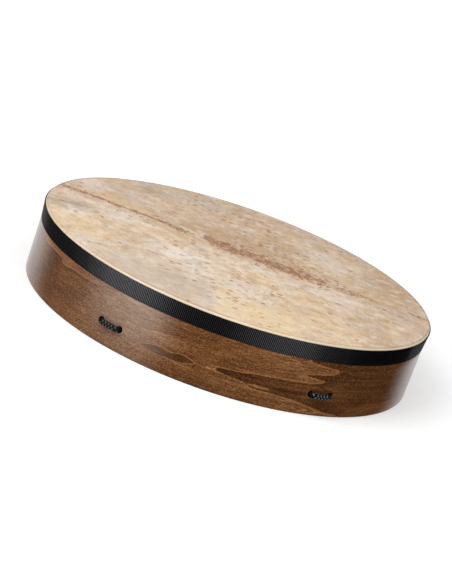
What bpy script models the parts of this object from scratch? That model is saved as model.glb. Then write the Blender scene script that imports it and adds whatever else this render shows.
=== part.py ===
"""Round frame drum: a bent wooden hoop, open below, with a goatskin head on top.

Staples under a woven band hold the skin. One cord, laced through four pairs of holes in the hoop,
carries a wooden grip ring in the open side. Metres, +Z up, origin at the centre of the lower rim.
"""

import math

import bmesh
import bpy
from mathutils import Matrix, Vector

# Hoop
SHELL_RADIUS = 0.2794
SHELL_WALL = 0.009
SHELL_HEIGHT = 0.1006
BEARING_ROUND = 0.003
RIM_ROUND = 0.0015

# Skin, band and staples
SKIN = 0.0008
GAP = 0.0002
BAND_THICKNESS = 0.0012
BAND_WIDTH = 0.0223
BAND_BELOW_TOP = 0.004
BAND_PROUD = 0.0002
BAND_FLARE = 0.0019
BAND_SEAM = 0.0005
BAND_SEAM_AZIMUTH = 90
COLLAR_ABOVE_BAND_END = 0.003
STAPLE_COUNT = 24
STAPLE_CROWN = 0.010
STAPLE_LEG = 0.0012
STAPLE_THICKNESS = 0.0005
STAPLE_DEPTH = 0.005
STAPLE_SINK = 0.0004

# Lacing
PAIR_AZIMUTHS = (-120, -60, 60, 120)
HOLE_RADIUS = 0.0044
HOLE_CHAMFER = 0.001
HOLE_HALF_SPACING = 0.0144
LACING_HEIGHT = 0.0297
CORD_RADIUS = 0.0036
CORD_CLEARANCE = 0.0005
CORD_BEND = 0.0055
CORD_INSIDE = 0.002
CORD_JOIN_GAP = 0.0003
# Each vee: its azimuth, half the turn between its pairs of holes, half its run round the grip ring
VEES = ((-90, 30, 9), (0, 60, 25), (90, 30, 9), (180, 60, 25))
KNOT_VEE = 3
KNOT_LENGTH = 0.022
KNOT_RADIUS = 0.0086
KNOT_TAIL = 0.022
KNOT_TAIL_TILTS = (35, -50)

# Grip ring
GRIP_RADIUS = 0.048
GRIP_SECTION = 0.009

# Facets
ROUND_STEPS = 72
GRIP_STEPS = 40
GRIP_SIDES = 12
HOLE_STEPS = 16
WRAP_STEPS = 12
KNOT_STEPS = 12
TUBE_RESOLUTION = 3

SHELL_INSIDE = SHELL_RADIUS - SHELL_WALL
HEAD_TOP = SHELL_HEIGHT + GAP + SKIN
BAND_TOP = HEAD_TOP - BAND_BELOW_TOP
BAND_END = BAND_TOP - BAND_WIDTH
BAND_OUTSIDE = SHELL_RADIUS + BAND_PROUD
BAND_INSIDE = BAND_OUTSIDE - BAND_THICKNESS
REBATE_RADIUS = BAND_INSIDE - GAP - STAPLE_THICKNESS + STAPLE_SINK - SKIN - GAP
REBATE_END = BAND_END - GAP
HOLE_ANGLE = HOLE_HALF_SPACING / SHELL_RADIUS
FLAT = math.cos(math.pi / ROUND_STEPS)


def new_material(name, colour, roughness, metallic=0.0):
    """A plain Principled material."""
    made = bpy.data.materials.new(name)
    made.use_nodes = True
    shader = made.node_tree.nodes["Principled BSDF"]
    shader.inputs["Base Color"].default_value = (*colour, 1)
    shader.inputs["Roughness"].default_value = roughness
    shader.inputs["Metallic"].default_value = metallic
    return made


def add_object(name, data, material=None):
    """An object of its own in the scene; without a material it is a cutter."""
    ob = bpy.data.objects.new(name, data)
    bpy.context.scene.collection.objects.link(ob)
    if material is None:
        ob.hide_render = True
        ob.display_type = "WIRE"
    elif not data.materials:
        data.materials.append(material)
    return ob


def cut(ob, cutter):
    """Takes the cutter's shape out of the object."""
    boolean = ob.modifiers.new(cutter.name, "BOOLEAN")
    boolean.operation = "DIFFERENCE"
    boolean.object = cutter


def mesh_from(name, bm, smooth_angle=40):
    """A mesh with outward faces, smooth where the faces nearly agree."""
    bmesh.ops.recalc_face_normals(bm, faces=bm.faces)
    mesh = bpy.data.meshes.new(name)
    bm.to_mesh(mesh)
    bm.free()
    mesh.shade_smooth()
    mesh.set_sharp_from_angle(angle=math.radians(smooth_angle))
    return mesh


def arc(centre_x, centre_z, radius, start, end, count):
    """Points on an arc, with its angles in degrees."""
    angles = [math.radians(start + (end - start) * i / count) for i in range(count + 1)]
    return [(centre_x + radius * math.cos(a), centre_z + radius * math.sin(a)) for a in angles]


def turned_mesh(name, profile, steps, closed):
    """A profile of (radius, height) points turned about Z; a closed profile makes a ring."""
    bm = bmesh.new()
    verts = [bm.verts.new((r, 0, z)) for r, z in profile]
    ends = verts[1:] + verts[:1] if closed else verts[1:]
    edges = [bm.edges.new(pair) for pair in zip(verts, ends)]
    axis = (0, 0, 1)
    bmesh.ops.spin(bm, geom=verts + edges, axis=axis, angle=2 * math.pi, steps=steps)
    bmesh.ops.remove_doubles(bm, verts=bm.verts, dist=1e-6)
    return mesh_from(name, bm)


def polar(radius, angle, height=0.0):
    """A point at a radius and an angle about Z."""
    return Vector((radius * math.cos(angle), radius * math.sin(angle), height))


def tube(name, points, material):
    """A cord of the lacing's thickness along the points, with its ends filled."""
    curve = bpy.data.curves.new(name, "CURVE")
    curve.dimensions = "3D"
    curve.bevel_depth = CORD_RADIUS
    curve.bevel_resolution = TUBE_RESOLUTION
    curve.use_fill_caps = True
    spline = curve.splines.new("POLY")
    spline.points.add(len(points) - 1)
    for place, point in zip(spline.points, points):
        place.co = (*point, 1)
    spline.use_smooth = True
    return add_object(name, curve, material)


def flared(radius, height):
    """The radius at a height on the flare of rebate, skin and band, from its value at the band's end."""
    return radius + BAND_FLARE * (height - BAND_END) / BAND_WIDTH


def shell_profile():
    """Hoop section: a round bearing edge above the rebate for skin and band, small rounds elsewhere."""
    top, bear, rim = SHELL_HEIGHT, BEARING_ROUND, RIM_ROUND
    return (
        arc(flared(REBATE_RADIUS, top - bear) - bear, top - bear, bear, 90, 0, 4)
        + [(flared(REBATE_RADIUS, REBATE_END), REBATE_END), (SHELL_RADIUS, REBATE_END)]
        + arc(SHELL_RADIUS - rim, rim, rim, 0, -90, 2)
        + arc(SHELL_INSIDE + rim, rim, rim, 270, 180, 2)
        + arc(SHELL_INSIDE + rim, top - rim, rim, 180, 90, 2)
    )


def head_profile():
    """Skin section: flat membrane, bend round the bearing edge, collar down into the rebate."""
    bend_height = SHELL_HEIGHT - BEARING_ROUND
    centre = flared(REBATE_RADIUS, bend_height) - BEARING_ROUND, bend_height
    inner_bend = BEARING_ROUND + GAP
    collar_end = BAND_END + COLLAR_ABOVE_BAND_END
    inside = flared(REBATE_RADIUS, collar_end) + GAP
    over = arc(*centre, inner_bend + SKIN, 90, 0, 5)
    under = arc(*centre, inner_bend, 0, 90, 4)
    collar = [(inside + SKIN, collar_end), (inside, collar_end)]
    return [(0, HEAD_TOP)] + over + collar + under + [(0, SHELL_HEIGHT + GAP)]


def band_mesh():
    """A webbing strip laid into the rebate, level with the hoop below, its ends meeting at a fine seam."""
    seam = BAND_SEAM / SHELL_RADIUS
    corners = [
        (flared(BAND_OUTSIDE, BAND_TOP), BAND_TOP),
        (BAND_OUTSIDE, BAND_END),
        (BAND_INSIDE, BAND_END),
        (flared(BAND_INSIDE, BAND_TOP), BAND_TOP),
    ]
    bm = bmesh.new()
    face = bm.faces.new([bm.verts.new((r, 0, z)) for r, z in corners])
    turn = 2 * math.pi - seam
    axis = (0, 0, 1)
    bmesh.ops.spin(bm, geom=[face], axis=axis, angle=turn, steps=ROUND_STEPS)
    start = math.radians(BAND_SEAM_AZIMUTH) + seam / 2
    bmesh.ops.rotate(bm, verts=bm.verts, matrix=Matrix.Rotation(start, 3, "Z"))
    return mesh_from("trim_band", bm)


def staple_mesh(name, grow=0.0):
    """A wire staple with its crown across +X and its legs pointing to -X, grown on every side."""
    crown_top = GAP + SKIN + STAPLE_THICKNESS - STAPLE_SINK + grow
    crown_under = GAP + SKIN - STAPLE_SINK - grow
    tip = -STAPLE_DEPTH - grow
    half = STAPLE_CROWN / 2 + grow
    leg_inner = STAPLE_CROWN / 2 - STAPLE_LEG - grow
    side = [(crown_top, half), (tip, half), (tip, leg_inner), (crown_under, leg_inner)]
    outline = side + [(x, -y) for x, y in reversed(side)]
    thick = STAPLE_LEG + 2 * grow
    bm = bmesh.new()
    face = bm.faces.new([bm.verts.new((x, y, -thick / 2)) for x, y in outline])
    grown = bmesh.ops.extrude_face_region(bm, geom=[face])["geom"]
    verts = [item for item in grown if isinstance(item, bmesh.types.BMVert)]
    bmesh.ops.translate(bm, verts=verts, vec=(0, 0, thick))
    return mesh_from(name, bm)


def staple_places():
    """Where each staple sits: on the middle of a facet, half way down the skin's collar."""
    height = (BAND_TOP + BAND_END + COLLAR_ABOVE_BAND_END) / 2
    radius = flared(REBATE_RADIUS, height) * FLAT
    for i in range(STAPLE_COUNT):
        angle = 2 * math.pi * i / STAPLE_COUNT + math.pi / ROUND_STEPS
        yield Matrix.Translation(polar(radius, angle, height)) @ Matrix.Rotation(angle, 4, "Z")


def repeated_cutter(name, mesh, places):
    """One cutter made of a copy of the mesh at every place."""
    bm = bmesh.new()
    for place in places:
        moved = mesh.copy()
        moved.transform(place)
        bm.from_mesh(moved)
        bpy.data.meshes.remove(moved)
    bpy.data.meshes.remove(mesh)
    return add_object(name, mesh_from(name, bm))


def hole_mesh():
    """A bore along X through the hoop's wall, widening at its outer end."""
    inner_end = SHELL_INSIDE - SHELL_WALL
    outer_end = SHELL_RADIUS + SHELL_WALL
    chamfer_start = SHELL_RADIUS - HOLE_CHAMFER
    profile = [
        (0, outer_end),
        (HOLE_RADIUS + outer_end - chamfer_start, outer_end),
        (HOLE_RADIUS, chamfer_start),
        (HOLE_RADIUS, inner_end),
        (0, inner_end),
    ]
    mesh = turned_mesh("cord_hole", profile, HOLE_STEPS, closed=False)
    mesh.transform(Matrix.Rotation(math.pi / 2, 4, "Y"))
    return mesh


def hole_places():
    """Where the cord passes the hoop: two holes at each pair."""
    for azimuth in PAIR_AZIMUTHS:
        for side in (-1, 1):
            turn = Matrix.Rotation(math.radians(azimuth) + side * HOLE_ANGLE, 4, "Z")
            yield Matrix.Translation((0, 0, LACING_HEIGHT)) @ turn


def bridge_points():
    """The cord out through one hole of a pair, along the hoop and in through the other, about +X."""
    lift = CORD_RADIUS + CORD_CLEARANCE
    bend_start = lift - CORD_BEND
    bend_end = HOLE_HALF_SPACING - CORD_BEND
    corner = arc(bend_end, bend_start, CORD_BEND, 0, 90, 6)
    half = [(HOLE_HALF_SPACING, -SHELL_WALL - CORD_INSIDE)] + corner
    route = half + [(-along, out) for along, out in reversed(half)]
    return [polar(SHELL_RADIUS + out, along / SHELL_RADIUS) for along, out in route]


def vee_points(half_turn, wrap_run, start_back=0.0):
    """The cord from one hole over the grip ring, round its inner side and back below it, about +X.

    start_back shortens the first leg by that much at its hole.
    """
    lift = GRIP_SECTION + CORD_RADIUS + CORD_CLEARANCE
    hole_turn = math.radians(half_turn) - HOLE_ANGLE
    ring_turn = math.radians(wrap_run)
    near = SHELL_INSIDE - CORD_INSIDE - CORD_JOIN_GAP
    square_run = 2 * CORD_RADIUS
    outward = near * math.cos(hole_turn - ring_turn) - GRIP_RADIUS
    lead = math.degrees(math.asin(lift / outward))
    wrap = []
    for i, (x, z) in enumerate(arc(GRIP_RADIUS, 0, lift, 90 - lead, 270 + lead, WRAP_STEPS)):
        wrap.append(polar(x, ring_turn * (2 * i / WRAP_STEPS - 1), z))
    first = [polar(near - start_back - run, -hole_turn) for run in (0, square_run)]
    last = [polar(near - run, hole_turn) for run in (square_run, 0)]
    return first + wrap + last


def knot_mesh():
    """A two-lobed barrel knot along X, from its hole inwards, before its tails are joined on."""
    lobes = []
    for i in range(KNOT_STEPS + 1):
        swell = math.sqrt(abs(math.sin(2 * math.pi * i / KNOT_STEPS)))
        lobes.append((CORD_RADIUS + (KNOT_RADIUS - CORD_RADIUS) * swell, KNOT_LENGTH * i / KNOT_STEPS))
    profile = [(0, 0)] + lobes + [(0, KNOT_LENGTH)]
    mesh = turned_mesh("lacing_knot", profile, HOLE_STEPS, closed=False)
    mesh.transform(Matrix.Rotation(-math.pi / 2, 4, "Y"))
    return mesh


def clear_scene():
    """Starts from an empty scene."""
    for ob in list(bpy.data.objects):
        bpy.data.objects.remove(ob, do_unlink=True)


def add_hoop_and_head(wood, skin, webbing, steel):
    """The hoop, the skin drawn over it, the band round the skin and the staples under the band."""
    clearance = repeated_cutter("staple_clearance", staple_mesh("staple_clearance", GAP), staple_places())
    shell = add_object("shell", turned_mesh("shell", shell_profile(), ROUND_STEPS, True), wood)
    cut(shell, repeated_cutter("cord_holes", hole_mesh(), hole_places()))
    cut(shell, clearance)
    head = add_object("head", turned_mesh("head", head_profile(), ROUND_STEPS, False), skin)
    cut(head, clearance)
    add_object("trim_band", band_mesh(), webbing)
    staple = staple_mesh("staple")
    for i, place in enumerate(staple_places()):
        add_object(f"staple_{i + 1:02d}", staple, steel).matrix_world = place


def add_lacing(cord):
    """The cord, cut where it passes the hoop: bridges outside, vees inside, and a knot."""
    for i, azimuth in enumerate(PAIR_AZIMUTHS):
        bridge = tube(f"cord_bridge_{i + 1}", bridge_points(), cord)
        bridge.location.z = LACING_HEIGHT
        bridge.rotation_euler.z = math.radians(azimuth)
    for i, (azimuth, half_turn, wrap_run) in enumerate(VEES):
        back = KNOT_LENGTH + CORD_JOIN_GAP if i + 1 == KNOT_VEE else 0.0
        vee = tube(f"cord_vee_{i + 1}", vee_points(half_turn, wrap_run, back), cord)
        vee.location.z = LACING_HEIGHT
        vee.rotation_euler.z = math.radians(azimuth)
    knot = add_object("lacing_knot", knot_mesh(), cord)
    azimuth, half_turn, _ = VEES[KNOT_VEE - 1]
    hole_azimuth = math.radians(azimuth - half_turn) + HOLE_ANGLE
    outer_end = SHELL_INSIDE - CORD_INSIDE - CORD_JOIN_GAP
    knot.location = polar(outer_end, hole_azimuth, LACING_HEIGHT)
    knot.rotation_euler.z = hole_azimuth
    add_knot_tails(knot)


def add_knot_tails(knot):
    """The cord's two cut ends, standing out of the knot's lobes and joined to them."""
    for i, tilt in enumerate(KNOT_TAIL_TILTS):
        bm = bmesh.new()
        bmesh.ops.create_cone(
            bm, cap_ends=True, segments=HOLE_STEPS, radius1=CORD_RADIUS, radius2=CORD_RADIUS, depth=KNOT_TAIL
        )
        bmesh.ops.translate(bm, verts=bm.verts, vec=(0, 0, KNOT_TAIL / 2))
        tail = add_object(f"knot_tail_{i + 1}", mesh_from("knot_tail", bm))
        tail.parent = knot
        tail.location.x = -KNOT_LENGTH * (1 + 2 * i) / 4
        tail.rotation_euler.x = math.radians(tilt)
        join = knot.modifiers.new(tail.name, "BOOLEAN")
        join.operation = "UNION"
        join.object = tail


def add_grip(wood):
    """The hand-hold ring, turned from wood, with its origin on the axis it slides along."""
    section = arc(GRIP_RADIUS, 0, GRIP_SECTION, 0, -360, GRIP_SIDES)[:-1]
    ring = add_object("grip_ring", turned_mesh("grip_ring", section, GRIP_STEPS, True), wood)
    ring.location.z = LACING_HEIGHT


clear_scene()
add_hoop_and_head(
    wood=new_material("stained_wood", (0.16, 0.062, 0.026), 0.35),
    skin=new_material("goatskin", (0.70, 0.56, 0.40), 0.55),
    webbing=new_material("webbing", (0.018, 0.018, 0.021), 0.75),
    steel=new_material("staple_steel", (0.60, 0.60, 0.62), 0.35, 1.0),
)
add_lacing(new_material("braided_cord", (0.012, 0.012, 0.013), 0.80))
add_grip(new_material("ring_wood", (0.30, 0.13, 0.055), 0.40))
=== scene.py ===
import math

import bmesh
import bpy
from mathutils import Matrix, Vector, noise


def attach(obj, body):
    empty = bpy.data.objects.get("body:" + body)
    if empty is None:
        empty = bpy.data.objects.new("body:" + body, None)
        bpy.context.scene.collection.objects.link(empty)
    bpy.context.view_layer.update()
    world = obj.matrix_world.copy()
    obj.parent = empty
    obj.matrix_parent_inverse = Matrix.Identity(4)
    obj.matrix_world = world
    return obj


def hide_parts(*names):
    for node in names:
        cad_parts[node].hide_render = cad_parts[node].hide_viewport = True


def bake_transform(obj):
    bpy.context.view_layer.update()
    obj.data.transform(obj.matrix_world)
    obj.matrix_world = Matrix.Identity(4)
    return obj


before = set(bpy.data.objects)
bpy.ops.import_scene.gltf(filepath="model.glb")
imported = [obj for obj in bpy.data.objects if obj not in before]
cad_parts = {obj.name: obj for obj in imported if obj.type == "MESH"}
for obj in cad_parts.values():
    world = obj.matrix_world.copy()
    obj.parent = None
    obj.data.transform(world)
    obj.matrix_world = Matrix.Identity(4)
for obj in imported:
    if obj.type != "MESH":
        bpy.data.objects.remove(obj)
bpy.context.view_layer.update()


# Hoop. One board of birch veneers bent round and glued, stained walnut brown and lacquered satin.
# Its lower rim is rounded, its upper one carries a rebate for skin and webbing, and four pairs of
# holes with rounded edges, low on its side, take the cord.
hoop_radius = 0.2794
hoop_wall = 0.009
hoop_height = 0.1006
hoop_inside = hoop_radius - hoop_wall
bearing_round = 0.003
rim_round = 0.0018
rebate_radius = 0.2771
rebate_end = 0.0751
lip_round = 0.0004
flare_start = 0.0753
flare_slope = 0.0019 / 0.0223
round_steps = 288
pair_azimuths = (-120, -60, 60, 120)
hole_radius = 0.0044
hole_round = 0.001
hole_spread = 0.0144
bore_past = 0.004
bore_steps = 32
lacing_height = 0.0297
corner_angle = 35


def arc(centre_x, centre_z, radius, start, end, count):
    """Points on an arc, with its angles in degrees."""
    angles = [math.radians(start + (end - start) * i / count) for i in range(count + 1)]
    return [(centre_x + radius * math.cos(a), centre_z + radius * math.sin(a)) for a in angles]


def polar(radius, angle, height=0.0):
    """A point at a radius and an angle about the drum's axis."""
    return Vector((radius * math.cos(angle), radius * math.sin(angle), height))


def flared(radius, height):
    """A radius on the flare of rebate, skin and webbing, from its value at the flare's start."""
    return radius + flare_slope * (height - flare_start)


def straight(start, end, count):
    """Points along a line, without its two ends."""
    return [tuple(Vector(start).lerp(Vector(end), i / count)) for i in range(1, count)]


def piece_from(name, bm, smooth_angle=corner_angle):
    """An object of its own from the mesh under work, smooth except at its corners."""
    bmesh.ops.recalc_face_normals(bm, faces=bm.faces)
    mesh = bpy.data.meshes.new(name)
    bm.to_mesh(mesh)
    bm.free()
    mesh.shade_smooth()
    mesh.set_sharp_from_angle(angle=math.radians(smooth_angle))
    made = bpy.data.objects.new(name, mesh)
    bpy.context.scene.collection.objects.link(made)
    return made


def turned(name, profile, steps, ring):
    """A section of (radius, height) points turned about the drum's axis."""
    bm = bmesh.new()
    columns = []
    for i in range(steps):
        angle = 2 * math.pi * i / steps
        column = []
        for k, (radius, height) in enumerate(profile):
            shared = i > 0 and radius == 0
            column.append(columns[0][k] if shared else bm.verts.new(polar(radius, angle, height)))
        columns.append(column)
    for here, there in zip(columns, columns[1:] + columns[:1]):
        for k in range(0 if ring else 1, len(profile)):
            corners = (here[k - 1], here[k], there[k], there[k - 1])
            bm.faces.new(list(dict.fromkeys(corners)))
    return piece_from(name, bm)


def hoop_section():
    """The hoop's section, with rows of points down its faces so that the holes stay local."""
    rim = rim_round
    bend_height = hoop_height - bearing_round
    bearing = arc(flared(rebate_radius, bend_height) - bearing_round, bend_height, bearing_round, 90, 0, 8)
    foot_outside = arc(hoop_radius - rim, rim, rim, 0, -90, 5)
    foot_inside = arc(hoop_inside + rim, rim, rim, 270, 180, 5)
    top_inside = arc(hoop_inside + rim, hoop_height - rim, rim, 180, 90, 5)
    lip = arc(hoop_radius - lip_round, rebate_end - lip_round, lip_round, 90, 0, 3)
    step = [(flared(rebate_radius, rebate_end), rebate_end)] + lip
    outside = straight(lip[-1], foot_outside[0], 9)
    inside = straight(foot_inside[-1], top_inside[0], 12)
    return bearing + step + outside + foot_outside + foot_inside + inside + top_inside


def hole_cutters():
    """Bores through the hoop's wall, two to a pair, each rounded where the cord bends over its edge."""
    edge = arc(hole_radius + hole_round, hoop_radius - hole_round, hole_round, 90, 180, 4)
    inner = arc(hole_radius + hole_round, hoop_inside + hole_round, hole_round, 180, 270, 4)
    wide = hole_radius + hole_round
    profile = [(0, hoop_radius + bore_past), (wide, hoop_radius + bore_past)] + edge
    profile += inner + [(wide, hoop_inside - bore_past), (0, hoop_inside - bore_past)]
    bore = turned("cord_bore", profile, bore_steps, False)
    bore.data.transform(Matrix.Rotation(math.pi / 2, 4, "Y"))
    bm = bmesh.new()
    for azimuth in pair_azimuths:
        for side in (-1, 1):
            turn = Matrix.Rotation(math.radians(azimuth) + side * hole_spread / hoop_radius, 4, "Z")
            one = bore.data.copy()
            one.transform(Matrix.Translation((0, 0, lacing_height)) @ turn)
            bm.from_mesh(one)
            bpy.data.meshes.remove(one)
    bpy.data.objects.remove(bore)
    return piece_from("cord_bores", bm)


def cut_out(piece, cutter):
    """Takes the cutter's shape out of the piece for good."""
    knife = piece.modifiers.new("holes", "BOOLEAN")
    knife.operation = "DIFFERENCE"
    knife.object = cutter
    bpy.context.view_layer.update()
    graph = bpy.context.evaluated_depsgraph_get()
    piece.data = bpy.data.meshes.new_from_object(piece.evaluated_get(graph))
    piece.modifiers.clear()
    piece.data.shade_smooth()
    piece.data.set_sharp_from_angle(angle=math.radians(corner_angle))
    bpy.data.objects.remove(cutter)


def tone(red, green, blue):
    """A colour as it is seen, from 0 to 255, for a shader's socket."""
    shares = [level / 255 for level in (red, green, blue)]
    return (*[((s + 0.055) / 1.055) ** 2.4 if s > 0.04045 else s / 12.92 for s in shares], 1)


class Amount:
    """A number that varies over a surface, with plain arithmetic."""

    def __init__(self, finish, socket):
        self.finish = finish
        self.socket = socket

    def __add__(self, other):
        return self.finish.math("ADD", self, other)

    __radd__ = __add__

    def __sub__(self, other):
        return self.finish.math("SUBTRACT", self, other)

    def __rsub__(self, other):
        return self.finish.math("SUBTRACT", other, self)

    def __mul__(self, other):
        return self.finish.math("MULTIPLY", self, other)

    __rmul__ = __mul__

    def __truediv__(self, other):
        return self.finish.math("DIVIDE", self, other)


class Finish:
    """A surface finish under work: each call adds shader nodes and hands back what they give."""

    def __init__(self, name):
        self.material = bpy.data.materials.new(name)
        self.material.use_nodes = True
        self.tree = self.material.node_tree
        self.shader = self.tree.nodes["Principled BSDF"]
        self.place = self.node("ShaderNodeTexCoord").outputs["Object"]
        split = self.node("ShaderNodeSeparateXYZ", {"Vector": self.place})
        self.x, self.y, self.z = [Amount(self, socket) for socket in split.outputs]

    def node(self, kind, values=None, **settings):
        made = self.tree.nodes.new(kind)
        for key, setting in settings.items():
            setattr(made, key, setting)
        for key, value in (values or {}).items():
            self.feed(made.inputs[key], value)
        return made

    def feed(self, socket, value):
        if isinstance(value, Amount):
            value = value.socket
        if isinstance(value, bpy.types.NodeSocket):
            self.tree.links.new(value, socket)
        else:
            socket.default_value = value

    def math(self, operation, *values):
        made = self.node("ShaderNodeMath", dict(enumerate(values)), operation=operation)
        return Amount(self, made.outputs[0])

    def noise(self, scale, stretch=(1, 1, 1), detail=2.0, roughness=0.5, shift=0.0):
        """Clouds from 0 to 1, scale of them in a metre, drawn out by the stretch."""
        moved = {"Vector": self.place, "Location": (shift, -shift, 0.3 * shift), "Scale": stretch}
        place = self.node("ShaderNodeMapping", moved).outputs[0]
        clouds = {"Vector": place, "Scale": scale, "Detail": detail, "Roughness": roughness}
        made = self.node("ShaderNodeTexNoise", clouds)
        return Amount(self, made.outputs["Fac"])

    def ramp(self, value, low, high):
        """0 below low, 1 above high, and an even rise between them."""
        made = self.node("ShaderNodeMapRange", {"Value": value, "From Min": low, "From Max": high},
                         interpolation_type="SMOOTHSTEP")
        return Amount(self, made.outputs["Result"])

    def band(self, value, start, full, fall, end):
        """0 outside start and end, 1 from full to fall, and an even slope on both sides."""
        return self.ramp(value, start, full) * (1 - self.ramp(value, fall, end))

    def border(self, value, points):
        """The height of an outline that runs through the points, at the given value along it."""
        wide = points[-1][0] - points[0][0]
        low = min(height for _, height in points)
        tall = max(height for _, height in points) - low
        along = (value - points[0][0]) / wide
        made = self.node("ShaderNodeFloatCurve", {"Value": along})
        curve = made.mapping.curves[0]
        for i, (place, height) in enumerate(points):
            spot = ((place - points[0][0]) / wide, (height - low) / tall)
            if i == 0:
                curve.points[0].location = spot
            elif i == len(points) - 1:
                curve.points[-1].location = spot
            else:
                curve.points.new(*spot)
        for point in curve.points:
            point.handle_type = "AUTO_CLAMPED"
        made.mapping.update()
        return Amount(self, made.outputs[0]) * tall + low

    def mix(self, share, first, second):
        made = self.node("ShaderNodeMix", data_type="RGBA")
        self.feed(made.inputs[0], share)
        self.feed(made.inputs[6], first)
        self.feed(made.inputs[7], second)
        return made.outputs[2]

    def tint(self, value, *stops):
        """A colour along a row of (place, colour) stops."""
        made = self.node("ShaderNodeValToRGB", {"Fac": value})
        while len(made.color_ramp.elements) < len(stops):
            made.color_ramp.elements.new(0.5)
        for element, (place, colour) in zip(made.color_ramp.elements, stops):
            element.position = place
            element.color = colour
        return made.outputs[0]

    def close(self, colour, roughness, height, depth, **sockets):
        """Lays colour, gloss and relief on the shader, and hands back the material."""
        self.feed(self.shader.inputs["Base Color"], colour)
        self.feed(self.shader.inputs["Roughness"], roughness)
        bump = self.node("ShaderNodeBump", {"Height": height, "Distance": depth})
        self.feed(self.shader.inputs["Normal"], bump.outputs[0])
        for key, value in sockets.items():
            self.shader.inputs[key.replace("_", " ")].default_value = value
        return self.material


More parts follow.
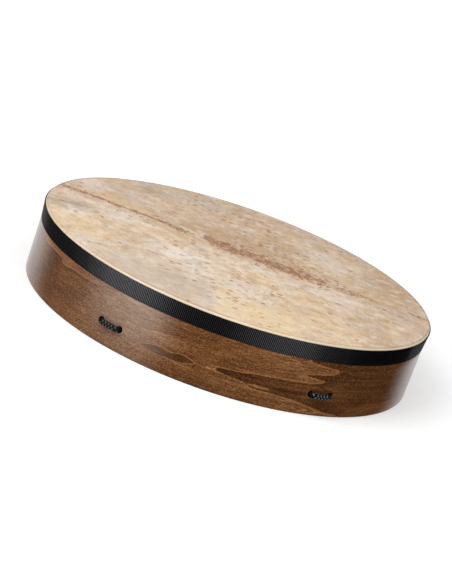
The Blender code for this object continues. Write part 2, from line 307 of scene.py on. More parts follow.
def stained_birch():
    """Rotary-cut veneer under brown stain: ring edges with a thin pale line, flecks along the grain."""
    wood = Finish("stained_birch")
    figure_turn = 0.43
    turn = wood.math("ARCTAN2", wood.y, wood.x) * (180 / math.pi)
    around = turn - figure_turn
    up = wood.z * 1000
    fray = wood.noise(75, (1, 1, 2.2), 4, 0.62) - 0.5
    ripple = wood.noise(22, (1, 1, 2.6), 3, 0.55, 2.0) - 0.5
    ragged_around = around + fray * 0.7
    ragged_up = up + fray * 1.1 + ripple * 1.1
    streak = wood.ramp(wood.noise(26, (1, 1, 13), 4, 0.65, 9.2), 0.36, 0.64) - 0.5
    fleck = wood.ramp(wood.noise(64, (1, 1, 8), 3, 0.65, 3.1), 0.38, 0.62) - 0.5
    pore = wood.ramp(wood.noise(380, (1, 1, 3.4), 1, 0.6, 5.3), 0.34, 0.66) - 0.5
    speckled = wood.border(around, [
        (-180, 0.3), (-156, 0.3), (-146, 0.66), (-138, 0.86), (-128, 1.2), (-112, 1.25), (-102, 0.95),
        (-58, 0.95), (-40, 0.75), (180, 0.75)])
    cloud = wood.noise(14, (1, 1, 3), 4, 0.55, 7.7) - 0.5

    heart_outline = [
        (0, -50.5), (4, -53.8), (6, -56.9), (11, -61.2), (16, -65.6), (19, -69), (20.2, -73.4),
        (21.2, -77.3), (22.4, -80.3), (26, -81.7), (28, -85), (32.5, -90.4), (36, -86.4), (37.2, -83),
        (40.3, -79.9), (41.5, -74.3), (42.8, -67.3), (45, -61.7), (49, -60.3), (51.6, -64), (54, -66.4),
        (56, -63.4), (59, -58.6), (63, -56.9), (66, -57.3), (69, -61.2), (71, -63.8), (73, -66), (75, -66.5)]
    above = wood.border(ragged_up + 0.5, heart_outline)
    below = wood.border(ragged_up - 0.5, heart_outline)
    slope = above - below
    depth = (ragged_around - (above + below) * 0.5) / wood.math("SQRT", slope * slope + 0.042)
    dark = wood.ramp(depth, -0.4, 0.5) * (1 - wood.ramp(depth, 2, 26) * 0.36)
    pale_line = wood.band(depth, -2.6, -0.9, -0.9, 0.1)
    ring_lines = wood.math("SINE", depth * 1.9 + ripple * 7) * wood.band(depth, -17, -3, -3, -1)
    ring_lines = ring_lines * (1.0 + (1 - wood.ramp(up, 22, 30)) * 0.8)

    patch_rise = ragged_up - wood.border(ragged_around, [
        (-180, 75), (-160, 74), (-155.4, 68), (-148.5, 68.5), (-145, 68), (-143.9, 65), (-142.7, 62),
        (-141, 62.6), (-139.3, 65), (-134, 66), (-129, 67), (-126.4, 70), (-125.5, 74), (-124, 77),
        (180, 77)])
    patch = wood.ramp(patch_rise, -0.4, 0.4) * (1 - wood.ramp(around, -141, -134) * 0.6)
    patch_line = wood.band(patch_rise, -0.2, 0.5, 0.5, 2.4)
    patch_edge = wood.band(patch_rise, -2.6, -0.8, -0.8, 0.0)

    lens_top = wood.border(ragged_around, [
        (-111, 25.4), (-108.6, 29.6), (-105.4, 32.2), (-102.4, 31), (-99.3, 33.6), (-97.6, 32.4),
        (-95.7, 29.8)])
    lens_bottom = wood.border(ragged_around, [
        (-111, 25.4), (-108.6, 23.2), (-105.4, 22.4), (-102.8, 23.4), (-100.2, 23.6), (-97.8, 26.0),
        (-95.7, 29.8)])
    lens = wood.math("MINIMUM", ragged_up - lens_bottom, lens_top - ragged_up)
    lens_dark = wood.ramp(lens, -0.3, 0.5)
    lens_line = wood.band(lens, -2.4, -0.7, -0.7, 0.0) * wood.band(around, -115, -110, -96, -90)
    pore = pore * speckled * (1 - lens_dark * 0.5)

    def islands(*places):
        """Spots of (azimuth, height, half width, half height, strength) in degrees and millimetres."""
        total = 0.0
        for azimuth, height, wide, tall, strength in places:
            across = (ragged_around - azimuth) / wide
            rise = (ragged_up - height) / tall
            total = total + (1 - wood.ramp(across * across + rise * rise, 0.7, 1.2)) * strength
        return total

    eyes = islands((-78.2, 25.2, 3.0, 1.8, 1.0), (-91.9, 30.6, 0.8, 1.2, 1.0), (-90.4, 31.6, 0.6, 1.0, 1.0))
    shade = islands((-94, 66, 6, 12, 0.5), (-149, 56, 4, 12, 0.4), (-84.5, 40, 6, 13, 0.5),
                    (-92, 8, 5, 8, 0.5), (-87, 28, 4, 7, 0.5), (-103, 61, 4, 7, 0.8),
                    (-131, 66, 5, 5, 0.6), (-148.5, 37, 5, 90, 0.45))
    shade = shade + (1 - wood.ramp(around, -138, -124)) * 0.6
    shade = shade + (1 - wood.ramp(up, 4, 15)) * wood.band(around, -110, -102, -80, -72) * 0.45
    # Lighter spots of the figure; the one high on the right front and the one low on the left are painted
    # sheen.
    glow = islands((-130, 27.5, 5, 2.4, 1.0), (-104, 44, 6, 9, 1.0), (-70, 38, 10, 7, 1.0),
                   (-70, 20, 9, 6, 1.0), (-77, 64, 10, 10, 1.0), (-65, 48, 4, 6, 1.0), (-57, 42, 3, 6, 1.0),
                   (-57, 38, 8, 34, 0.35), (-66, 3, 6, 8, 1.3), (-113, 19, 6, 5, 0.8), (-71, 34, 8, 5, 0.5))
    # Painted reflection: the lower parts of both ends are painted lighter, for the white floor in the
    # lacquer.
    ends = (1 - wood.ramp(around, -134, -122)) + wood.ramp(around, -60, -46) * 1.8
    glow = glow + ends * (1 - wood.ramp(up, 2, 26)) * 1.3

    rings = wood.noise(3.2, (1, 1, 3.4), 2, 0.5, 11.0) * 9 + fray * 0.3
    step = wood.math("FRACT", rings)
    front = wood.band(around, -174, -160, -24, -10)
    figure = (0.62 - dark * 0.4 + ring_lines * 0.14 + patch * 0.06 - patch_edge * 0.24 - lens_dark * 0.42
              + eyes * 0.68 - shade * 0.2 + glow * 0.12)
    elsewhere = 0.3 + step * 0.36
    figure = elsewhere + front * (figure - elsewhere)
    figure = figure + cloud * 0.32 + streak * 0.17 + fleck * 0.15 + pore * 0.12 + ripple * 0.1
    stain = wood.tint(figure, (0.0, tone(52, 28, 11)), (0.2, tone(72, 41, 17)), (0.4, tone(90, 55, 27)),
                      (0.62, tone(116, 73, 38)), (0.8, tone(138, 96, 60)), (1.0, tone(168, 126, 90)))
    line = wood.math("MAXIMUM", wood.math("MAXIMUM", pale_line, lens_line), patch_line) * front
    stain = wood.mix(line * (0.72 + fray), stain, tone(168, 113, 66))
    stain = wood.mix(patch * 0.28, stain, tone(178, 120, 74))
    stain = wood.mix(lens_dark * 0.3, stain, tone(94, 66, 36))
    stain = wood.mix(wood.math("MAXIMUM", pore, 0.0) * (0.54 - dark * 0.2), stain, tone(180, 140, 107))
    stain = wood.mix(wood.math("MAXIMUM", -1 * pore, 0.0) * 0.84, stain, tone(66, 25, 1))

    # Painted sheen: a paler, greyer cloud on the left front, brighter upwards, for a softbox in the lacquer.
    sheen_right_edge = wood.border(up, [(0, -105), (18, -104), (45, -104), (58, -105), (75, -105)])
    painted_light_and_texture = wood.ramp(around, -137, -114) * (1 - wood.ramp(around - sheen_right_edge, -9, 5))
    painted_light_and_texture = painted_light_and_texture * (0.42 + wood.ramp(up, 8, 46) * 0.58 + wood.ramp(up, 50, 74) * 0.25)
    painted_light_and_texture = painted_light_and_texture * (1 + cloud * 0.8 + fleck * 0.35)
    stain = wood.mix(painted_light_and_texture * 0.27, stain, tone(228, 210, 194))
    # Painted sheen: a faint grey haze over the left end.
    stain = wood.mix((1 - wood.ramp(around, -134, -118)) * 0.03, stain, tone(206, 200, 200))

    along = wood.math("ABSOLUTE", wood.math("ABSOLUTE", wood.math("ABSOLUTE", turn) - 90) - 30)
    from_hole = along * math.radians(1000 * hoop_radius) - 1000 * hole_spread
    rise = up - 1000 * lacing_height
    from_bore = wood.math("SQRT", from_hole * from_hole + rise * rise)
    # Painted highlight: a pale crescent on the lower outer rim of each hole, where the edge catches the
    # light.
    painted_highlight = wood.band(from_bore, 4.7, 5.1, 5.3, 5.8) * wood.ramp(from_hole - rise, 3, 6)
    stain = wood.mix(painted_highlight * (0.75 - wood.ramp(turn, -100, -80) * 0.25), stain, tone(202, 158, 116))
    # Painted shade: the bores and their rounded edges are painted near black.
    stain = wood.mix(1 - wood.ramp(from_bore, 4.6, 5.0), stain, tone(12, 8, 6))
    # Painted shade: the lowest two millimetres, on the rounded foot, are painted dark.
    stain = wood.mix((1 - wood.ramp(up, 0.4, 2.2)) * 0.7, stain, tone(40, 23, 11))

    reach = wood.math("SQRT", wood.x * wood.x + wood.y * wood.y)
    inside = 1 - wood.ramp(reach, hoop_inside + 0.0003, hoop_inside + 0.0007)
    raw = wood.tint(0.5 + cloud * 0.9 + fleck * 0.3 + pore * 0.2,
                    (0.2, tone(98, 62, 34)), (0.8, tone(150, 106, 66)))
    colour = wood.mix(inside, stain, raw)
    facing = Amount(wood, wood.node("ShaderNodeLayerWeight").outputs["Facing"])
    thin = 0.016 + wood.ramp(around, -80, -40) * 0.085
    wood.feed(wood.shader.inputs["Coat Weight"], wood.ramp(facing - thin, 0.48, 0.72) * (1 - inside))
    gloss = 0.42 + fleck * 0.1 + inside * 0.2
    return wood.close(colour, gloss, fleck * 0.5 + pore * 0.5, 0.00016, Specular_IOR_Level=0.0,
                      Coat_Roughness=0.2, Coat_IOR=1.5)


hoop = turned("hoop", hoop_section(), round_steps, True)
cut_out(hoop, hole_cutters())
hoop.data.materials.clear()
hoop.data.materials.append(stained_birch())
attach(hoop, "frame")
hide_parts("shell")


# Head. One goatskin, soaked, drawn over the bearing edge and dried taut. The darker stripe of the
# animal's back crosses it, with the pits of the hair beside it. Its collar runs down into the rebate.
skin_thick = 0.0008
skin_gap = 0.0002
skin_top = hoop_height + skin_gap + skin_thick
collar_end = 0.0783
skin_rings = 44
wave_height = 0.00012
waves_per_metre = 14
wrinkle_height = 0.00005
wrinkles_per_metre = 55


def head_section():
    """The skin's section: membrane, rolled edge and collar, outside first and back along the inside."""
    bend_height = hoop_height - bearing_round
    centre = (flared(rebate_radius, bend_height) - bearing_round, bend_height)
    inner_bend = bearing_round + skin_gap
    over = arc(*centre, inner_bend + skin_thick, 90, 0, 10)
    under = arc(*centre, inner_bend, 0, 90, 8)
    collar = flared(rebate_radius, collar_end) + skin_gap
    end = [(collar + skin_thick, collar_end), (collar, collar_end)]
    down = straight(over[-1], end[0], 4)
    up = straight(end[1], under[0], 4)
    top = [(centre[0] * i / skin_rings, skin_top) for i in range(skin_rings)]
    below = [(radius, height - skin_thick) for radius, height in reversed(top)]
    return top + over + down + end + up + under + below


def goatskin():
    """Dried skin: cream, tan and grey clouds, the brown stripe of the back, and the pits of the hair."""
    skin = Finish("goatskin")
    figure_turn = 0.0075
    x = (skin.x + skin.y * figure_turn) * 1000
    y = (skin.y - skin.x * figure_turn) * 1000
    wide = skin.noise(8, (1, 1, 1), 3, 0.55, 1.3) - 0.5
    cloud = skin.noise(20, (1, 1, 1), 4, 0.62, 4.4) - 0.5
    drift = skin.noise(20, (1, 1, 1), 4, 0.62, 9.4) - 0.5
    mottle = skin.noise(52, (1, 1, 1), 5, 0.58, 8.2) - 0.5
    ragged = skin.noise(70, (1, 1, 1), 3, 0.6, 6.1) - 0.5
    hue = skin.noise(36, (1, 1, 1), 4, 0.65, 3.6) - 0.5
    fibre = skin.noise(170, (1, 0.8, 1), 3, 0.7, 2.2) - 0.5
    warp_x = x + cloud * 120
    warp_y = y + drift * 120

    def patches(*places):
        """Soft blots of (x, y, half width, half height, strength) in millimetres."""
        total = 0.0
        for at_x, at_y, across, along, strength in places:
            u, v = (warp_x - at_x) / across, (warp_y - at_y) / along
            total = total + (1 - skin.ramp(u * u + v * v, 0.0, 1.3)) * strength
        return skin.math("MINIMUM", total, 1.0)

    base = skin.tint(0.5 + wide * 0.9 + cloud * 1.3 + mottle * 0.6,
                     (0.15, tone(190, 160, 130)), (0.4, tone(211, 186, 158)), (0.6, tone(224, 202, 176)),
                     (0.85, tone(233, 217, 198)))
    base = skin.mix(skin.ramp(warp_y, -50, 120) * 0.55, base, tone(195, 164, 132))
    base = skin.mix(skin.ramp(warp_x, 130, 290) * 0.5, base, tone(184, 160, 134))
    tan = patches(
        (-154, 185, 45, 45, 0.5), (-20, 75, 80, 60, 0.56), (60, 110, 70, 60, 0.46), (-60, 70, 60, 40, 0.26),
        (235, 110, 60, 90, 0.8), (190, -150, 50, 70, 0.6), (95, -165, 44, 30, 0.4), (215, 0, 60, 60, 0.4),
        (-272, -75, 34, 70, 0.7))
    base = skin.mix(tan, base, tone(184, 149, 110))
    grey = patches(
        (-245, -20, 36, 26, 0.7), (-150, -150, 60, 44, 0.5), (-80, -215, 56, 60, 0.55),
        (-190, 110, 60, 44, 0.5), (-150, 205, 70, 40, 0.6), (-60, 215, 60, 30, 0.7), (215, -40, 44, 40, 0.3))
    base = skin.mix(grey, base, tone(192, 175, 160))
    cream = patches(
        (-98, -75, 60, 44, 0.8), (-64, 34, 20, 16, 0.9), (125, -40, 60, 34, 0.5), (10, -150, 50, 40, 0.5),
        (140, 120, 60, 50, 0.5), (-180, 5, 60, 34, 0.4), (-60, -120, 40, 60, 0.5), (-240, 110, 40, 50, 0.5))
    base = skin.mix(cream, base, tone(236, 222, 208))
    straw = patches(
        (100, -165, 50, 44, 0.35), (55, -235, 60, 44, 0.7), (-215, -105, 54, 60, 0.5),
        (60, -95, 60, 30, 0.4), (-120, -50, 50, 30, 0.3), (-200, 65, 50, 16, 0.5), (140, -205, 40, 40, 0.5))
    base = skin.mix(straw, base, tone(224, 190, 140))
    base = skin.mix(skin.ramp(hue, 0.0, 0.16) * 0.42, base, tone(226, 190, 142))
    base = skin.mix(skin.ramp(-1 * hue, 0.0, 0.16) * 0.42, base, tone(212, 198, 188))
    base = skin.mix(skin.ramp(mottle, 0.02, 0.17) * 0.4, base, tone(240, 225, 206))
    base = skin.mix(skin.ramp(-1 * mottle, 0.02, 0.17) * 0.36, base, tone(172, 139, 108))
    base = skin.mix(skin.ramp(fibre, 0.0, 0.2) * 0.42, base, tone(166, 134, 106))
    base = skin.mix(skin.ramp(-1 * fibre, 0.04, 0.2) * 0.24, base, tone(240, 225, 206))

    near = 1 - skin.ramp(y + cloud * 60, -205, -150)
    fold = skin.ramp(x + 27 + ragged * 16, -4, 4)
    base = skin.mix(near * (1 - fold) * 0.4, base, tone(196, 181, 166))
    base = skin.mix(near * fold * (1 - skin.ramp(x, 60, 110)) * 0.4, base, tone(238, 215, 174))
    base = skin.mix(patches((-262, -18, 20, 18, 0.5), (-152, 176, 26, 34, 0.45)), base, tone(150, 130, 113))

    spine = skin.border(x, [
        (-282, 57), (-235, 52.5), (-175, 45.5), (-140, 42.5), (-112, 36.5), (-77, 28), (-50, 33), (-42, 24),
        (0, 18.5), (56, 13), (126, 4.5), (168, 1), (203, 0), (240, -2), (266, -6), (282, -10)])
    breadth = skin.border(x, [
        (-282, 11), (-255, 11), (-235, 7), (-150, 5.4), (-125, 8), (-100, 14), (-62, 12), (-45, 21),
        (0, 24), (60, 23), (126, 19), (190, 20), (230, 4), (282, 4)])
    strength = skin.border(x, [
        (-282, 0.8), (-235, 0.95), (-150, 0.95), (-100, 0.85), (-78, 0.6), (-64, 0.2), (-52, 0.85),
        (20, 0.95), (110, 0.92), (135, 0.76), (165, 0.56), (200, 0.42), (216, 0.12), (240, 0.1),
        (254, 0.9), (282, 0.9)])
    halo = skin.border(x, [(-282, 0.1), (-110, 0.2), (-50, 0.42), (90, 0.42), (150, 0.2), (282, 0.0)])
    halo = halo * (1 - skin.ramp(skin.math("ABSOLUTE", y - spine - 12 + cloud * 50), 12, 62))
    base = skin.mix(halo, base, tone(180, 144, 108))
    crumb = skin.noise(190, (1, 0.6, 1), 3, 0.7, 7.3) - 0.5
    away = skin.math("ABSOLUTE", y - spine + drift * 16) / breadth
    broken = 1.4 + skin.ramp(x, -140, -60) * 2.0
    grains = 0.1 + strength * 1.1 - away + (ragged * 0.5 + crumb) * broken
    stripe = skin.ramp(grains, 0.1, 0.8) * (0.3 + strength * 0.65)
    beside = skin.ramp(3.2 - away, 0.0, 2.4) * strength
    beside = beside + patches((-180, 26, 46, 20, 1.0), (-95, 24, 36, 16, 0.8))
    fringe = beside * skin.ramp(crumb + ragged * 0.5, 0.06, 0.18)
    back = skin.tint(0.5 + crumb * 2.2 + ragged,
                     (0.2, tone(188, 147, 110)), (0.5, tone(150, 101, 65)), (0.8, tone(110, 66, 36)))
    base = skin.mix(stripe * 0.9, base, back)
    base = skin.mix(fringe * 0.7, base, tone(150, 102, 68))

    drawn = {"X": skin.x * 0.7 + crumb * 0.006, "Y": skin.y * 1.05 + fibre * 0.006}
    spread = {"Vector": skin.node("ShaderNodeCombineXYZ", drawn).outputs[0], "Scale": 122.0}
    pits = skin.node("ShaderNodeTexVoronoi", spread, voronoi_dimensions="2D")
    chance = skin.node("ShaderNodeSeparateColor", {"Color": pits.outputs["Color"]}).outputs
    hairy = patches((28, 98, 70, 50, 0.42), (-70, -90, 54, 90, 0.28), (18, -120, 60, 110, 0.26),
                    (-20, 190, 90, 70, 0.28), (60, 20, 120, 60, 0.26), (-56, -165, 50, 60, 0.2),
                    (-160, 25, 50, 26, 0.3), (30, -210, 70, 60, 0.24), (90, 60, 60, 60, 0.2)) + 0.035
    there = skin.math("LESS_THAN", Amount(skin, chance[0]), hairy)
    size = Amount(skin, chance[1]) * 0.24 + 0.24
    dot = (1 - skin.ramp(Amount(skin, pits.outputs["Distance"]) / size, 0.4, 1.15)) * there
    dot = dot * (0.36 + Amount(skin, chance[2]) * 0.5)
    base = skin.mix(dot, base, tone(146, 94, 56))
    reach = skin.math("SQRT", skin.x * skin.x + skin.y * skin.y)
    behind = skin.ramp(y, -40, 120)
    rolled = skin.ramp(reach, 0.2788, 0.2794)
    # A brown line at the front along the crease inside the rolled edge: partly stain, partly painted shade.
    crease_shade_and_stain = skin.ramp(reach, 0.276, 0.2779) * (1 - rolled)
    front_middle = 1 - skin.ramp(skin.math("ABSOLUTE", x + 50), 50, 130)
    crease_shade_and_stain = crease_shade_and_stain * (1 - behind) * (0.22 + mottle + front_middle * (0.26 + ragged))
    base = skin.mix(skin.math("MAXIMUM", crease_shade_and_stain, 0.0), base, tone(166, 128, 86))
    # Painted highlight: the front of the rolled edge is painted pale cream, less so towards the left.
    pale = (1 - behind) * (0.7 - skin.ramp(-1 * x, 150, 235) * 0.42)
    base = skin.mix(rolled * pale, base, tone(248, 232, 204))
    # Painted shade: the far rim, where the skin turns down, is painted greyer.
    base = skin.mix(skin.ramp(reach, 0.2715, 0.2765) * behind * 0.6, base, tone(148, 134, 120))
    relief = mottle * 0.5 + fibre * 0.35 - dot * 0.5
    return skin.close(base, 0.58 + cloud * 0.2 + dot * 0.1, relief, 0.0004, Specular_IOR_Level=0.25)


head = turned("head_skin", head_section(), round_steps, False)
for vertex in head.data.vertices:
    calm = noise.noise(Vector((vertex.co.x * waves_per_metre, vertex.co.y * waves_per_metre, 0)))
    fine = noise.noise(Vector((vertex.co.x * wrinkles_per_metre, vertex.co.y * wrinkles_per_metre, 3)))
    if vertex.co.z > hoop_height - 0.001:
        vertex.co.z += wave_height * calm + wrinkle_height * fine
head.data.materials.append(goatskin())
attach(head, "frame")
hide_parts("head")


# Staples. Twenty-four steel wire staples hold the skin's collar in the rebate, under the webbing.
# Their crowns are drawn wire, galvanised, with a dull grey bloom.
def galvanised_wire():
    """Drawn wire with a zinc bloom and fine lengthwise scores."""
    wire = Finish("galvanised_wire")
    bloom = wire.noise(900, (1, 1, 1), 4, 0.6, 1.0)
    score = wire.noise(1800, (1, 1, 0.2), 2, 0.5, 2.0)
    colour = wire.tint(bloom, (0.3, tone(120, 122, 124)), (0.7, tone(176, 178, 178)))
    return wire.close(colour, 0.32 + bloom * 0.25, score, 0.00002, Metallic=1.0)


wire_finish = galvanised_wire()
for name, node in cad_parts.items():
    if name.startswith("staple_"):
        node.data.materials.clear()
        node.data.materials.append(wire_finish)


# Webbing. A black ribbed strip laid into the rebate over the collar, level with the hoop below, its two
# ends butted at the back. Its ribs are upright cords set close together, with painted shade between them.
webbing_thick = 0.0012
webbing_top = 0.0976
webbing_end = 0.0753
webbing_outside = hoop_radius + 0.0002
webbing_seam = 0.0005
webbing_edge = 0.0003
ribs = 748
rib_depth = 0.0006
rib_columns = 6
webbing_corner = 80


def webbing():
    """The strip's mesh, ribbed on its outer face, flat inside, with both edges turned in a little."""
    columns = ribs * rib_columns
    seam = webbing_seam / hoop_radius
    face = [webbing_end + webbing_edge]
    face += [webbing_end + (webbing_top - webbing_end) * share for share in (0.25, 0.5, 0.75)]
    face += [webbing_top - webbing_edge]
    bm = bmesh.new()
    last = None
    for i in range(columns + 1):
        angle = math.pi / 2 + seam / 2 + (2 * math.pi - seam) * i / columns
        out = rib_depth * (abs(math.sin(math.pi * i / rib_columns)) - 1)
        section = [(-webbing_thick, webbing_end), (out - webbing_edge, webbing_end)]
        section += [(out, height) for height in face]
        section += [(out - webbing_edge, webbing_top), (-webbing_thick, webbing_top)]
        loop = []
        for aside, height in section:
            loop.append(bm.verts.new(polar(flared(webbing_outside + aside, height), angle, height)))
        if last:
            for k in range(len(loop)):
                bm.faces.new((last[k - 1], last[k], loop[k], loop[k - 1]))
        else:
            bm.faces.new(loop)
        last = loop
    bm.faces.new(last)
    return piece_from("webbing", bm, webbing_corner)


def black_webbing():
    """Black spun yarn: painted shade between its ribs, painted sheen on them in long runs and at both ends.
    """
    yarn = Finish("black_webbing")
    around = yarn.math("ARCTAN2", yarn.y, yarn.x) * (180 / math.pi)
    reach = yarn.math("SQRT", yarn.x * yarn.x + yarn.y * yarn.y) - (yarn.z - flare_start) * flare_slope
    # Painted sheen: paler runs where the softboxes are mirrored and at both ends, seen edge-on; greyer at
    # the back.
    sheen_and_fade = yarn.border(around, [
        (-180, 0.9), (-168, 0.9), (-160, 0.56), (-153, 0.24), (-146, 0.2), (-138, 0.32), (-128, 0.8),
        (-119, 1.0), (-110, 0.8), (-102, 0.34), (-96, 0.22), (-88, 0.4), (-79, 0.68), (-72, 0.76),
        (-64, 0.44), (-56, 0.2), (-48, 0.07), (-36, 0.02), (-30, 0.14), (-22, 0.84), (30, 0.5), (90, 0.2),
        (140, 0.45), (180, 0.9)])
    fluff = yarn.noise(1500, (1, 1, 0.6), 3, 0.6, 4.0) - 0.5
    thread = yarn.noise(500, (0.4, 0.4, 2), 2, 0.5, 2.0) - 0.5
    sheen_and_fade_squared = sheen_and_fade * sheen_and_fade
    # Painted highlight on the rib crowns, growing with the sheen, and painted shade in the gaps between
    # them.
    rib = yarn.ramp(reach, webbing_outside - rib_depth * (sheen_and_fade * 0.15 + 0.11), webbing_outside)
    crest = 0.04 + yarn.ramp(sheen_and_fade, 0.0, 0.24) * 0.18 + sheen_and_fade * 0.6 - sheen_and_fade_squared * sheen_and_fade_squared * 0.3 + thread * 0.16
    painted_light_and_texture = rib * crest + sheen_and_fade_squared * 0.1 + sheen_and_fade_squared * sheen_and_fade_squared * 0.15 + fluff * 0.06
    colour = yarn.tint(painted_light_and_texture, (0.0, tone(3, 3, 4)), (0.2, tone(40, 40, 41)), (0.5, tone(83, 83, 85)),
                       (1.0, tone(142, 142, 144)))
    return yarn.close(colour, 0.7, fluff, 0.0001, Specular_IOR_Level=0.01)


band = webbing()
band.data.materials.append(black_webbing())
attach(band, "frame")
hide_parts("trim_band")


# Lacing. One black braided cord, over seven millimetres thick, laced through the hoop. Outside it bridges
# the two holes of each pair; inside it runs in from a hole, over the grip ring and back to the next.
cord_radius = 0.0036
cord_clearance = 0.0005
cord_bend = 0.0055
cord_inside = 0.002
bridge_sags = (0.0001, 0.0006, 0.0003, 0.0003)
strands = 3
braid_turn = 0.014
braid_depth = 0.0008
cord_spacing = 0.0009
cord_sides = 24
bridge_spacing = 0.0005
bridge_sides = 40
cord_corner = 70
end_tuck = 0.72


def evenly(points, spacing):
    """The same route with its corners eased and its points at even steps."""
    for _ in range(2):
        eased = [points[0]]
        for here, there in zip(points, points[1:]):
            eased += [here.lerp(there, 0.25), here.lerp(there, 0.75)]
        points = eased + [points[-1]]
    lengths = [0.0]
    for here, there in zip(points, points[1:]):
        lengths.append(lengths[-1] + (there - here).length)
    count = max(8, round(lengths[-1] / spacing))
    route, k = [], 0
    for i in range(count + 1):
        at = lengths[-1] * i / count
        while k < len(points) - 2 and lengths[k + 1] < at:
            k += 1
        share = (at - lengths[k]) / max(1e-9, lengths[k + 1] - lengths[k])
        route.append(points[k].lerp(points[k + 1], min(1.0, share)))
    return route


def braid_height(turn, along):
    """How far the braid stands out, from 0 to 1, at a turn about the cord and a length along it."""
    right, left = strands * (turn + along / braid_turn), strands * (turn - along / braid_turn)
    on_right, on_left = right - round(right), left - round(left)
    if (round(right) + round(left)) % 2:
        on_right, on_left = on_left, on_right
    return (1 - (2 * on_right) ** 2) * (1 - 0.45 * (2 * on_left) ** 2)


def add_cord(bm, relief, points, radius, spacing, sides):
    """A run of braided cord along the points, with rounded ends."""
    route = evenly(points, spacing)
    side = (route[1] - route[0]).orthogonal().normalized()
    along, last = 0.0, None
    for i, here in enumerate(route):
        ahead = (route[min(i + 1, len(route) - 1)] - route[max(i - 1, 0)]).normalized()
        side = (side - ahead * side.dot(ahead)).normalized()
        other = ahead.cross(side)
        along += (here - route[i - 1]).length if i else 0.0
        tuck = end_tuck if i in (0, len(route) - 1) else 1.0
        loop = []
        for k in range(sides):
            angle = 2 * math.pi * k / sides
            height = braid_height(k / sides, along)
            out = (radius + braid_depth * (height - 0.5)) * tuck
            vert = bm.verts.new(here + (side * math.cos(angle) + other * math.sin(angle)) * out)
            vert[relief] = height * tuck
            loop.append(vert)
        if last:
            for k in range(sides):
                bm.faces.new((last[k - 1], last[k], loop[k], loop[k - 1]))
        else:
            bm.faces.new(loop)
        last = loop
    bm.faces.new(last)


def cord_piece(name, runs, spacing=cord_spacing, sides=cord_sides):
    """One piece of cord from its runs of (points, radius)."""
    bm = bmesh.new()
    relief = bm.verts.layers.float.new("braid")
    for points, radius in runs:
        add_cord(bm, relief, points, radius, spacing, sides)
    return piece_from(name, bm, cord_corner)


def black_cord():
    """Black polished yarn: painted shade between the strands, a painted grey highlight on their crowns."""
    yarn = Finish("black_cord")
    braid = Amount(yarn, yarn.node("ShaderNodeAttribute", attribute_name="braid").outputs["Fac"])
    fluff = yarn.noise(1400, (1, 1, 1), 3, 0.6, 6.0)
    around = yarn.math("ARCTAN2", yarn.y, yarn.x) * (180 / math.pi)
    aside = yarn.math("ABSOLUTE", yarn.math("ABSOLUTE", yarn.math("ABSOLUTE", around) - 90) - 29.5)
    reach = yarn.math("SQRT", yarn.x * yarn.x + yarn.y * yarn.y)
    # Painted shade where the cord dips into the holes.
    painted_hole_shade = yarn.ramp(aside * math.radians(hoop_radius), hole_spread - 0.0026, hole_spread + 0.0004)
    painted_hole_shade = painted_hole_shade * yarn.ramp(reach, hoop_inside, hoop_inside + 0.002)
    # Painted highlight on the braid's crowns, weaker on the left front pair.
    painted_highlight = yarn.ramp(around, -100, -70)
    crown = yarn.ramp(braid, 0.5, 0.95) * (0.4 + painted_highlight * 0.6) + (1 - painted_highlight) * 0.32
    painted_light_and_texture = crown * (1 - painted_hole_shade) + (fluff - 0.5) * 0.5
    colour = yarn.tint(painted_light_and_texture, (0.0, tone(2, 2, 2)), (0.4, tone(18, 18, 19)), (1.0, tone(110, 111, 113)))
    return yarn.close(colour, 0.45, fluff, 0.0001, Specular_IOR_Level=0.05)


def bridge_route(slack):
    """Out through one hole of a pair, along the hoop a little slack, and in through the other, about +X."""
    lift = cord_radius + cord_clearance
    corner = arc(hole_spread - cord_bend, lift - cord_bend, cord_bend, 0, 90, 8)
    half = [(hole_spread, -hoop_wall - cord_inside)] + corner + [(hole_spread * 0.3, lift)]
    route = half + [(0, lift)] + [(-along, out) for along, out in reversed(half)]
    points = []
    for along, out in route:
        sag = slack * (1 - (along / hole_spread) ** 2)
        points.append(polar(hoop_radius + out, along / hoop_radius, lacing_height - sag))
    return points


cord_finish = black_cord()
for i, azimuth in enumerate(pair_azimuths):
    turn = Matrix.Rotation(math.radians(azimuth), 3, "Z")
    route = [turn @ point for point in bridge_route(bridge_sags[i])]
    bridge = cord_piece(f"bridge_{i + 1}", [(route, cord_radius)], bridge_spacing, bridge_sides)
    bridge.data.materials.append(cord_finish)
    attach(bridge, "frame")
    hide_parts(f"cord_bridge_{i + 1}")

grip_radius = 0.048
grip_section = 0.009
cord_join = 0.0003
cord_near = hoop_inside - cord_inside - cord_join
hole_angle = hole_spread / hoop_radius
vees = ((-90, 30, 9), (0, 60, 25), (90, 30, 9), (180, 60, 25))
knot_vee = 3
knot_length = 0.022


def vee_route(half_turn, wrap_run, start_back):
    """From one hole over the grip ring, round its inner side and back below it, about +X."""
    lift = grip_section + cord_radius + cord_clearance
    hole_turn = math.radians(half_turn) - hole_angle
    ring_turn = math.radians(wrap_run)
    square_run = 2 * cord_radius
    outward = cord_near * math.cos(hole_turn - ring_turn) - grip_radius
    lead = math.degrees(math.asin(lift / outward))
    wrap = []
    for i, (x, z) in enumerate(arc(grip_radius, 0, lift, 90 - lead, 270 + lead, 24)):
        wrap.append(polar(x, ring_turn * (i / 12 - 1), z))
    first = [polar(cord_near - start_back - run, -hole_turn) for run in (0, square_run)]
    last = [polar(cord_near - run, hole_turn) for run in (square_run, 0)]
    return [point + Vector((0, 0, lacing_height)) for point in first + wrap + last]


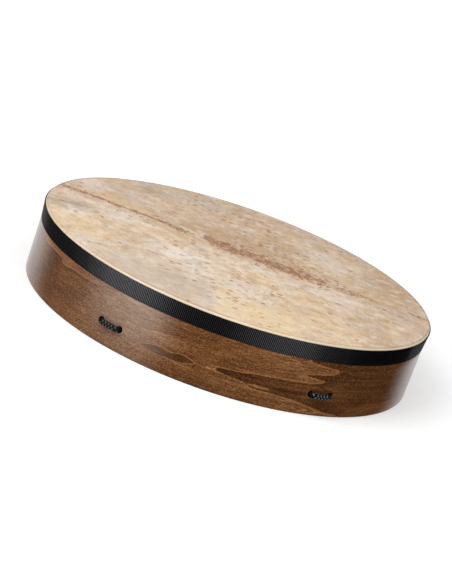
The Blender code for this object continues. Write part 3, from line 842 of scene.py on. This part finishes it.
for i, (azimuth, half_turn, wrap_run) in enumerate(vees):
    turn = Matrix.Rotation(math.radians(azimuth), 3, "Z")
    back = knot_length + cord_join if i + 1 == knot_vee else 0.0
    route = [turn @ point for point in vee_route(half_turn, wrap_run, back)]
    vee = cord_piece(f"vee_{i + 1}", [(route, cord_radius)])
    vee.data.materials.append(cord_finish)
    middle = turn @ Vector((1, 0, 0))
    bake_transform(vee)
    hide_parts(f"cord_vee_{i + 1}")


# Knot. The cord's two ends meet inside, beside one hole, in a double barrel knot: each end is wound
# round the other and drawn up tight, and a short tail is left on each.
knot_turn = math.radians(vees[knot_vee - 1][0] - vees[knot_vee - 1][1]) + hole_angle
core_radius = 0.0032
end_radius = 0.0029
end_rise = 0.0028
end_turns = 2.2
turn_steps = 16
knot_tail = 0.021
knot_spacing = 0.0007


def winding(start, end, hand, tail_tilt):
    """One barrel of the knot: an end that rises from the core, winds round it and leaves as a tail."""
    points = []
    count = round(turn_steps * end_turns)
    for i in range(count + 1):
        share = i / count
        angle = hand * 2 * math.pi * end_turns * (share - 1) + tail_tilt
        out = end_radius + end_rise * min(1.0, share * 4)
        points.append(Vector((start + (end - start) * share, out * math.cos(angle), out * math.sin(angle))))
    leave = Vector((0, -hand * math.sin(tail_tilt), hand * math.cos(tail_tilt)))
    outward = Vector((0, math.cos(tail_tilt), math.sin(tail_tilt)))
    for run in (0.25, 0.6, 1.0):
        points.append(points[count] + leave * knot_tail * run * 0.7 + outward * knot_tail * 0.45 * run * run)
    return points


core = [Vector((-knot_length * i / 6, 0, 0)) for i in range(7)]
barrels = [
    (core, core_radius),
    (winding(-0.0196, -0.0132, 1, math.radians(35)), end_radius),
    (winding(-0.0024, -0.0088, -1, math.radians(-50)), end_radius),
]
place = Matrix.Translation(polar(cord_near, knot_turn, lacing_height)) @ Matrix.Rotation(knot_turn, 4, "Z")
runs = [([place @ point for point in points], radius) for points, radius in barrels]
knot = cord_piece("barrel_knot", runs, knot_spacing)
knot.data.materials.append(cord_finish)
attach(knot, "frame")
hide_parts("lacing_knot")


# Grip ring. A ring turned from one piece of beech, sanded round and oiled. It hangs in the lacing,
# in the middle of the open side, and the hand that holds the drum closes round it.
ring_sides = 40
ring_steps = 160
tool_step = 0.00006


def oiled_beech():
    """Pale brown beech: long grain across the ring, short dark rays, an inner side darkened by handling."""
    beech = Finish("oiled_beech")
    grain = beech.noise(90, (0.25, 1.6, 1.6), 4, 0.6, 1.7)
    ray = beech.noise(420, (0.3, 1.5, 1.5), 2, 0.5, 4.9)
    reach = beech.math("SQRT", beech.x * beech.x + beech.y * beech.y)
    handled = 1 - beech.ramp(reach, grip_radius - grip_section, grip_radius)
    figure = grain * 0.9 + (ray - 0.5) * 0.5 - handled * 0.15
    colour = beech.tint(figure,
                        (0.2, tone(122, 78, 44)), (0.5, tone(168, 118, 74)), (0.8, tone(192, 146, 100)))
    return beech.close(colour, 0.42 + ray * 0.15 - handled * 0.08, grain * 0.5 + ray * 0.5, 0.00012)


def ring_section():
    """A round section, with the fine steps that the turning tool left before sanding."""
    points = []
    for i in range(ring_sides):
        angle = 2 * math.pi * i / ring_sides
        radius = grip_section - tool_step * (i % 2)
        points.append((grip_radius + radius * math.cos(angle), lacing_height + radius * math.sin(angle)))
    return points


grip = turned("grip", ring_section(), ring_steps, True)
grip.data.materials.append(oiled_beech())
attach(grip, "grip")
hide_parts("grip_ring")


# Stage. A pale seamless floor under soft studio light: a large softbox from the left, a smaller one
# from the right, a faint one above, and a white room. The camera looks down on the drum with its
# horizon tilted.
floor_half = 9
floor_cells = 24


def white_when_seen(tree):
    """1 for what the camera sees, straight or in gloss and glass, and 0 for what lights the scene."""
    path = tree.nodes.new("ShaderNodeLightPath")
    seen = path.outputs["Is Camera Ray"]
    for other in ("Is Glossy Ray", "Is Transmission Ray"):
        either = tree.nodes.new("ShaderNodeMath")
        either.operation = "MAXIMUM"
        tree.links.new(seen, either.inputs[0])
        tree.links.new(path.outputs[other], either.inputs[1])
        seen = either.outputs[0]
    return seen


def pale_floor():
    """Matt white paper that keeps the drum's shadow, lifted to white where it is seen."""
    paper = Finish("pale_floor")
    fibre = paper.noise(40, (1, 1, 1), 3, 0.5)
    colour = paper.tint(fibre, (0.3, tone(228, 228, 228)), (0.7, tone(232, 232, 232)))
    material = paper.close(colour, 0.9, fibre, 0.00005, Specular_IOR_Level=0.0)
    away = paper.math("SQRT", paper.x * paper.x + paper.y * paper.y)
    glossy = Amount(paper, paper.node("ShaderNodeLightPath").outputs["Is Glossy Ray"])
    lift = 0.4 + paper.ramp(away, 0.35, 1.6) * 0.6
    glow = Amount(paper, white_when_seen(paper.tree)) * paper.math("MAXIMUM", lift, glossy * 0.4)
    paper.shader.inputs["Emission Color"].default_value = (1, 1, 1, 1)
    paper.feed(paper.shader.inputs["Emission Strength"], glow)
    return material


bm = bmesh.new()
bmesh.ops.create_grid(bm, x_segments=floor_cells, y_segments=floor_cells, size=floor_half)
floor = piece_from("floor", bm)
floor.data.materials.append(pale_floor())

world = bpy.data.worlds.new("white_room")
world.use_nodes = True
bpy.context.scene.world = world
room = world.node_tree.nodes["Background"]
shade = world.node_tree.nodes.new("ShaderNodeMapRange")
shade.inputs["To Min"].default_value = 0.3
shade.inputs["To Max"].default_value = 1.0
world.node_tree.links.new(white_when_seen(world.node_tree), shade.inputs["Value"])
world.node_tree.links.new(shade.outputs[0], room.inputs["Strength"])
room.inputs["Color"].default_value = (1, 1, 1, 1)


def softbox(name, azimuth, elevation, distance, size, power):
    """A square soft light that looks at the drum's middle."""
    data = bpy.data.lights.new(name, "AREA")
    data.size = size
    data.energy = power
    lamp = bpy.data.objects.new(name, data)
    rise = math.radians(elevation)
    away = polar(math.cos(rise), math.radians(azimuth), math.sin(rise))
    lamp.location = away * distance
    lamp.rotation_euler = away.to_track_quat("Z", "Y").to_euler()
    bpy.context.scene.collection.objects.link(lamp)


softbox("softbox_left", -140, 46, 2.4, 1.6, 34)
softbox("softbox_right", -55, 36, 2.6, 1.2, 16)
softbox("softbox_above", 90, 80, 2.2, 2.0, 8)

camera_azimuth = math.radians(-93.27)
camera_elevation = 0.2931
camera_distance = 2.2579
camera_roll = 0.3435
picture_height = 584
back = polar(math.cos(camera_elevation), camera_azimuth, math.sin(camera_elevation))
lens = bpy.data.cameras.new("camera")
lens.sensor_width = 36
lens.lens = 99.56
lens.shift_x = -3.2 / picture_height
lens.shift_y = -2.9 / picture_height
camera = bpy.data.objects.new("camera", lens)
look = back.to_track_quat("Z", "Y").to_matrix().to_4x4()
middle = Matrix.Translation(Vector((0, 0, skin_top / 2)) + back * camera_distance)
camera.matrix_world = middle @ look @ Matrix.Rotation(camera_roll, 4, "Z")
bpy.context.scene.collection.objects.link(camera)
bpy.context.scene.camera = camera
bpy.context.scene.view_settings.view_transform = "Standard"
